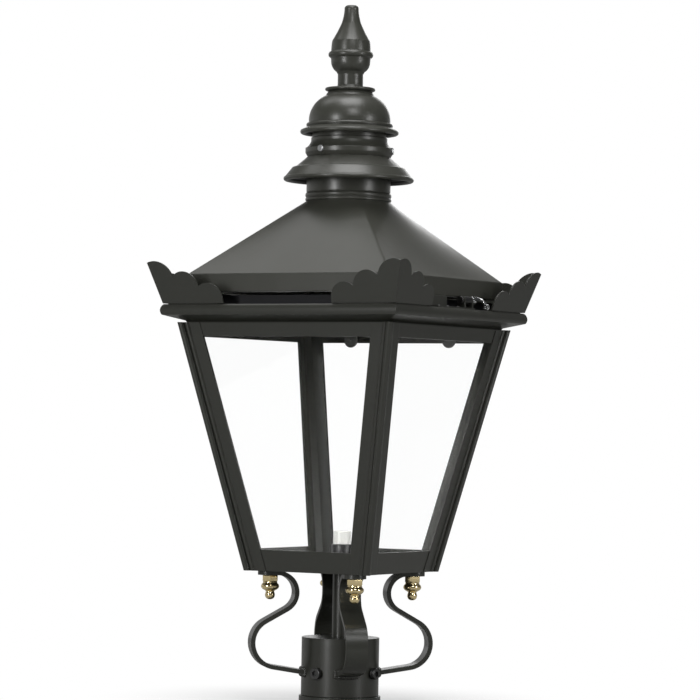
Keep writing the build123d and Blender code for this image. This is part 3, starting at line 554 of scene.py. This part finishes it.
def leg_welds():
    recipe = weld_recipe()
    bead = {"Bead Radius": WELD_BEAD_RADIUS * MM, "Ripple Spacing": WELD_RIPPLE_SPACING * MM}
    for number, azimuth in enumerate(LEG_AZIMUTHS, start=1):
        name = f"leg_weld_{number}"
        points = leg_weld_loop(azimuth)
        edges = [(index, (index + 1) % len(points)) for index in range(len(points))]
        sizes = {**bead, "Seed": number}
        follow_recipe(name, recipe, "lantern", "black_paint", points, sizes, edges=edges)


def rivet_row(name, recipe, body, slot, points, direction, head):
    """Rivet heads on points in mm, all of one size and facing one way."""
    radius, height = head
    sizes = {"Head Radius": radius * MM, "Head Height": height * MM}
    facing = [direction] * len(points)
    follow_recipe(name, recipe, body, slot, points, sizes, facing=facing)


def rivets():
    recipe = rivet_recipe()
    up, back, left = (0.0, 0.0, 1.0), (0.0, -1.0, 0.0), (-1.0, 0.0, 0.0)

    front_wall = [(place, -CREST_FOOT_LINE, CREST_FOOT_TOP) for place in CREST_RIVET_PLACES]
    side_wall = [(CREST_FOOT_LINE, -place, CREST_FOOT_TOP) for place in CREST_RIVET_PLACES]
    points = quarter_turns(front_wall + side_wall)
    rivet_row("crest_rivets", recipe, "lantern", "black_paint", points, up, RIVET_HEAD)

    leaf_places = pair_of_pairs(HINGE_SPACING, FIXED_LEAF_RIVET_REACH)
    points = [(FIXED_LEAF_RIVET_LINE, place, FIXED_LEAF_TOP) for place in leaf_places]
    points += [(CATCH_RIVET_LINE, place, CATCH_PLATE_TOP) for place in CATCH_RIVET_PLACES]
    rivet_row("bracket_rivets", recipe, "lantern", "black_steel", points, up, RIVET_HEAD)

    leaf_places = pair_of_pairs(HINGE_SPACING, MOVING_LEAF_RIVET_REACH)
    points = [(MOVING_LEAF_FACE, place, MOVING_LEAF_RIVET_LEVEL) for place in leaf_places]
    rivet_row("moving_leaf_rivets", recipe, "lid", "black_steel", points, left, SMALL_RIVET_HEAD)

    points = [(side * CLIP_SPACING / 2, CLIP_FACE, CLIP_RIVET_LEVEL) for side in (-1, 1)]
    rivet_row("clip_rivets", recipe, "lantern", "black_steel", points, back, SMALL_RIVET_HEAD)


def threads():
    recipe = thread_recipe()

    def thread(name, body, points, length, radius, pitch, ridge):
        sizes = {
            "Core Radius": radius * MM,
            "Length": length * MM,
            "Turns": length / pitch,
            "Ridge": ridge * MM,
        }
        follow_recipe(name, recipe, body, "bright_steel", points, sizes)

    bottom, top = STUD_THREAD
    studs = [about_axis(azimuth) @ Vector((NUT_REACH, 0.0, bottom)) for azimuth in LEG_AZIMUTHS]
    thread("stud_threads", "lantern", studs, top - bottom, STUD_RADIUS, STUD_PITCH, STUD_RIDGE)
    for place, (bottom, top) in TIE_ROD_THREADS.items():
        name = f"tie_rod_{place}_thread"
        points = [(0.0, 0.0, bottom)]
        length = top - bottom
        thread(name, "lid", points, length, TIE_ROD_RADIUS, TIE_ROD_PITCH, TIE_ROD_RIDGE)


# ------------------------------------------------------------------ brass nuts
NUT_HEXAGON = ((8.6, 0.0), (9.8, 0.7), (9.8, 6.4), (9.0, 7.4))  # radius, depth under the leg
NUT_TURNED = (
    (8.3, 8.0), (8.2, 8.8), (8.6, 9.6), (9.6, 10.5), (10.2, 11.6), (10.4, 12.9), (10.1, 14.3),
    (9.2, 15.6), (7.9, 16.6), (6.3, 17.5), (5.2, 18.2), (4.8, 18.9), (4.9, 19.6), (5.3, 20.4),
    (5.6, 21.5), (5.7, 22.8), (5.5, 24.2), (5.0, 25.5), (4.2, 26.6), (3.0, 27.4), (1.6, 27.9),
)
NUT_LENGTH = 28.0
NUT_SEGMENTS = 48
NUT_SHARP_ANGLE = radians(38.0)


def nut_rings():
    """Rings of points down one nut, about its own axis. The hexagon's rings come first."""
    around = [2 * pi * index / NUT_SEGMENTS for index in range(NUT_SEGMENTS)]
    to_flats = [angle % (pi / 3) - pi / 6 for angle in around]
    hexagon = [cos(pi / 6) / cos(to_flat) for to_flat in to_flats]
    circle = [1.0] * NUT_SEGMENTS
    rows = [(row, hexagon) for row in NUT_HEXAGON] + [(row, circle) for row in NUT_TURNED]
    return [
        [
            Vector((radius * reach * cos(angle), radius * reach * sin(angle), -depth))
            for angle, reach in zip(around, outline)
        ]
        for (radius, depth), outline in rows
    ]


def turned_nuts():
    """Four nuts as in the photograph: hexagon, round ring and blunt end."""
    vertices = []
    faces = []
    rings = nut_rings()
    for azimuth in LEG_AZIMUTHS:
        centre = about_axis(azimuth) @ Vector((NUT_REACH, 0.0, 0.0)) + Vector((0.0, 0.0, NUT_TOP))
        first = len(vertices)
        vertices.append(centre * MM)
        vertices += [(centre + point) * MM for ring in rings for point in ring]
        vertices.append((centre - Vector((0.0, 0.0, NUT_LENGTH))) * MM)
        last = len(vertices) - 1
        for index in range(NUT_SEGMENTS):
            here = first + 1 + index
            beside = first + 1 + (index + 1) % NUT_SEGMENTS
            faces.append((first, here, beside))
            for row in range(len(rings) - 1):
                low = row * NUT_SEGMENTS
                high = low + NUT_SEGMENTS
                faces.append((here + low, here + high, beside + high, beside + low))
            end = (len(rings) - 1) * NUT_SEGMENTS
            faces.append((here + end, last, beside + end))
    mesh = bpy.data.meshes.new("turned_nuts")
    mesh.from_pydata(vertices, [], faces)
    mesh.shade_smooth()
    mesh.set_sharp_from_angle(angle=NUT_SHARP_ANGLE)
    mesh.materials.append(finishes["brass"])
    nuts = place_piece("turned_nuts", mesh, "lantern")
    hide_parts("brass_finial_nuts")


# ------------------------------------------------------------------ camera, room and lights
def photo_camera():
    """The camera of the photograph: a long lens, level with the middle of the glass."""
    across = Vector((cos(VIEW_AZIMUTH), sin(VIEW_AZIMUTH), 0.0))
    level = Vector((-sin(VIEW_AZIMUTH), cos(VIEW_AZIMUTH), 0.0))
    ahead = level * cos(VIEW_PITCH) + Vector((0.0, 0.0, sin(VIEW_PITCH)))
    up = across.cross(ahead)
    rolled_across = across * cos(VIEW_ROLL) + up * sin(VIEW_ROLL)
    rolled_up = up * cos(VIEW_ROLL) - across * sin(VIEW_ROLL)
    data = bpy.data.cameras.new("camera")
    data.lens = VIEW_LENS
    data.clip_end = CAMERA_CLIP_END
    camera = bpy.data.objects.new("camera", data)
    turn = Matrix((rolled_across, rolled_up, -ahead)).transposed()
    place = across * VIEW_SIDE - level * VIEW_DISTANCE + Vector((0.0, 0.0, VIEW_HEIGHT))
    camera.matrix_world = Matrix.Translation(place) @ turn.to_4x4()
    scene.collection.objects.link(camera)
    scene.camera = camera


def ray_share(tree, *kinds):
    """1 for the named kinds of ray, 0 for the rest."""
    paths = add_node(tree, "ShaderNodeLightPath").outputs
    total = Wire(tree, paths[kinds[0]])
    for kind in kinds[1:]:
        total = total.larger(paths[kind])
    return total


def studio_world():
    """White backdrop behind the object, a darker room on the camera's side."""
    world = bpy.data.worlds.new("studio")
    world.use_nodes = True
    tree = world.node_tree
    tree.nodes.clear()
    directions = add_node(tree, "ShaderNodeTexCoord").outputs["Generated"]
    away = (-sin(BRIGHT_SIDE_AZIMUTH), cos(BRIGHT_SIDE_AZIMUTH), 0.0)
    settings = {"operation": "DOT_PRODUCT"}
    facing = add_node(tree, "ShaderNodeVectorMath", settings, {0: directions, 1: away})
    height = Wire(tree, add_node(tree, "ShaderNodeSeparateXYZ", sockets={0: directions}).outputs[2])
    sweep = Wire(tree, facing.outputs["Value"]).step(0.0, 0.8) * (1.0 - height.step(0.05, 0.55))
    mirrored = ray_share(tree, "Is Glossy Ray")
    ceiling = height.step(0.4, 1.0) * CEILING_LEVEL
    level = ROOM_LEVEL + sweep * BACKDROP_LEVEL + ceiling + mirrored * MIRRORED_LEVEL
    seen = ray_share(tree, "Is Camera Ray", "Is Transmission Ray")
    strength = level + seen * (1.0 - level)
    shader = add_node(tree, "ShaderNodeBackground", sockets={"Color": WHITE, "Strength": strength})
    add_node(tree, "ShaderNodeOutputWorld", sockets={"Surface": shader.outputs[0]})
    scene.world = world


def studio_floor():
    """Pale floor that turns pure white away from the object's foot."""
    size = FLOOR_HALF_SIZE
    corners = [(-size, -size, 0), (size, -size, 0), (size, size, 0), (-size, size, 0)]
    mesh = bpy.data.meshes.new("floor")
    mesh.from_pydata(corners, [], [(0, 1, 2, 3)])
    floor = bpy.data.objects.new("floor", mesh)
    scene.collection.objects.link(floor)
    pale = Finish("pale_floor")
    x, y, _ = pale.split(pale.places)
    fade = (x * x + y * y).root().step(*FLOOR_FADE)
    seen = ray_share(pale.tree, "Is Camera Ray", "Is Transmission Ray")
    mirrored = ray_share(pale.tree, "Is Glossy Ray")
    seen_white = FLOOR_FOOT_WHITE + fade * (1.0 - FLOOR_FOOT_WHITE)
    white_share = seen * seen_white + mirrored * MIRRORED_FLOOR_WHITE
    tint = pale.blend(seen, FLOOR_BOUNCE_COLOUR, FLOOR_SEEN_COLOUR)
    matt = pale.surface(Base_Color=tint, Roughness=0.8)
    white = pale.node("ShaderNodeEmission", sockets={"Color": WHITE, "Strength": 1.0}).outputs[0]
    mixed = pale.node("ShaderNodeMixShader", sockets={0: white_share, 1: matt, 2: white})
    mesh.materials.append(pale.done(mixed.outputs[0]))


def softbox(name, azimuth, elevation, distance, size, power):
    """Rectangular area light aimed at the lantern. Its azimuth is counted as the camera's."""
    turn = radians(azimuth)
    rise = radians(elevation)
    offset = Vector((sin(turn) * cos(rise), -cos(turn) * cos(rise), sin(rise))) * distance
    data = bpy.data.lights.new(name, "AREA")
    data.shape = "RECTANGLE"
    data.size, data.size_y = size
    data.energy = power
    light = bpy.data.objects.new(name, data)
    light.location = LIGHT_TARGET + offset
    light.rotation_euler = (-offset).to_track_quat("-Z", "Y").to_euler()
    scene.collection.objects.link(light)


# ------------------------------------------------------------------ the whole scene
photo_camera()
studio_world()
studio_floor()
for light in SOFTBOXES:
    softbox(*light)
dress_solids()
leg_welds()
rivets()
threads()
turned_nuts()

scene.view_settings.view_transform = "Standard"
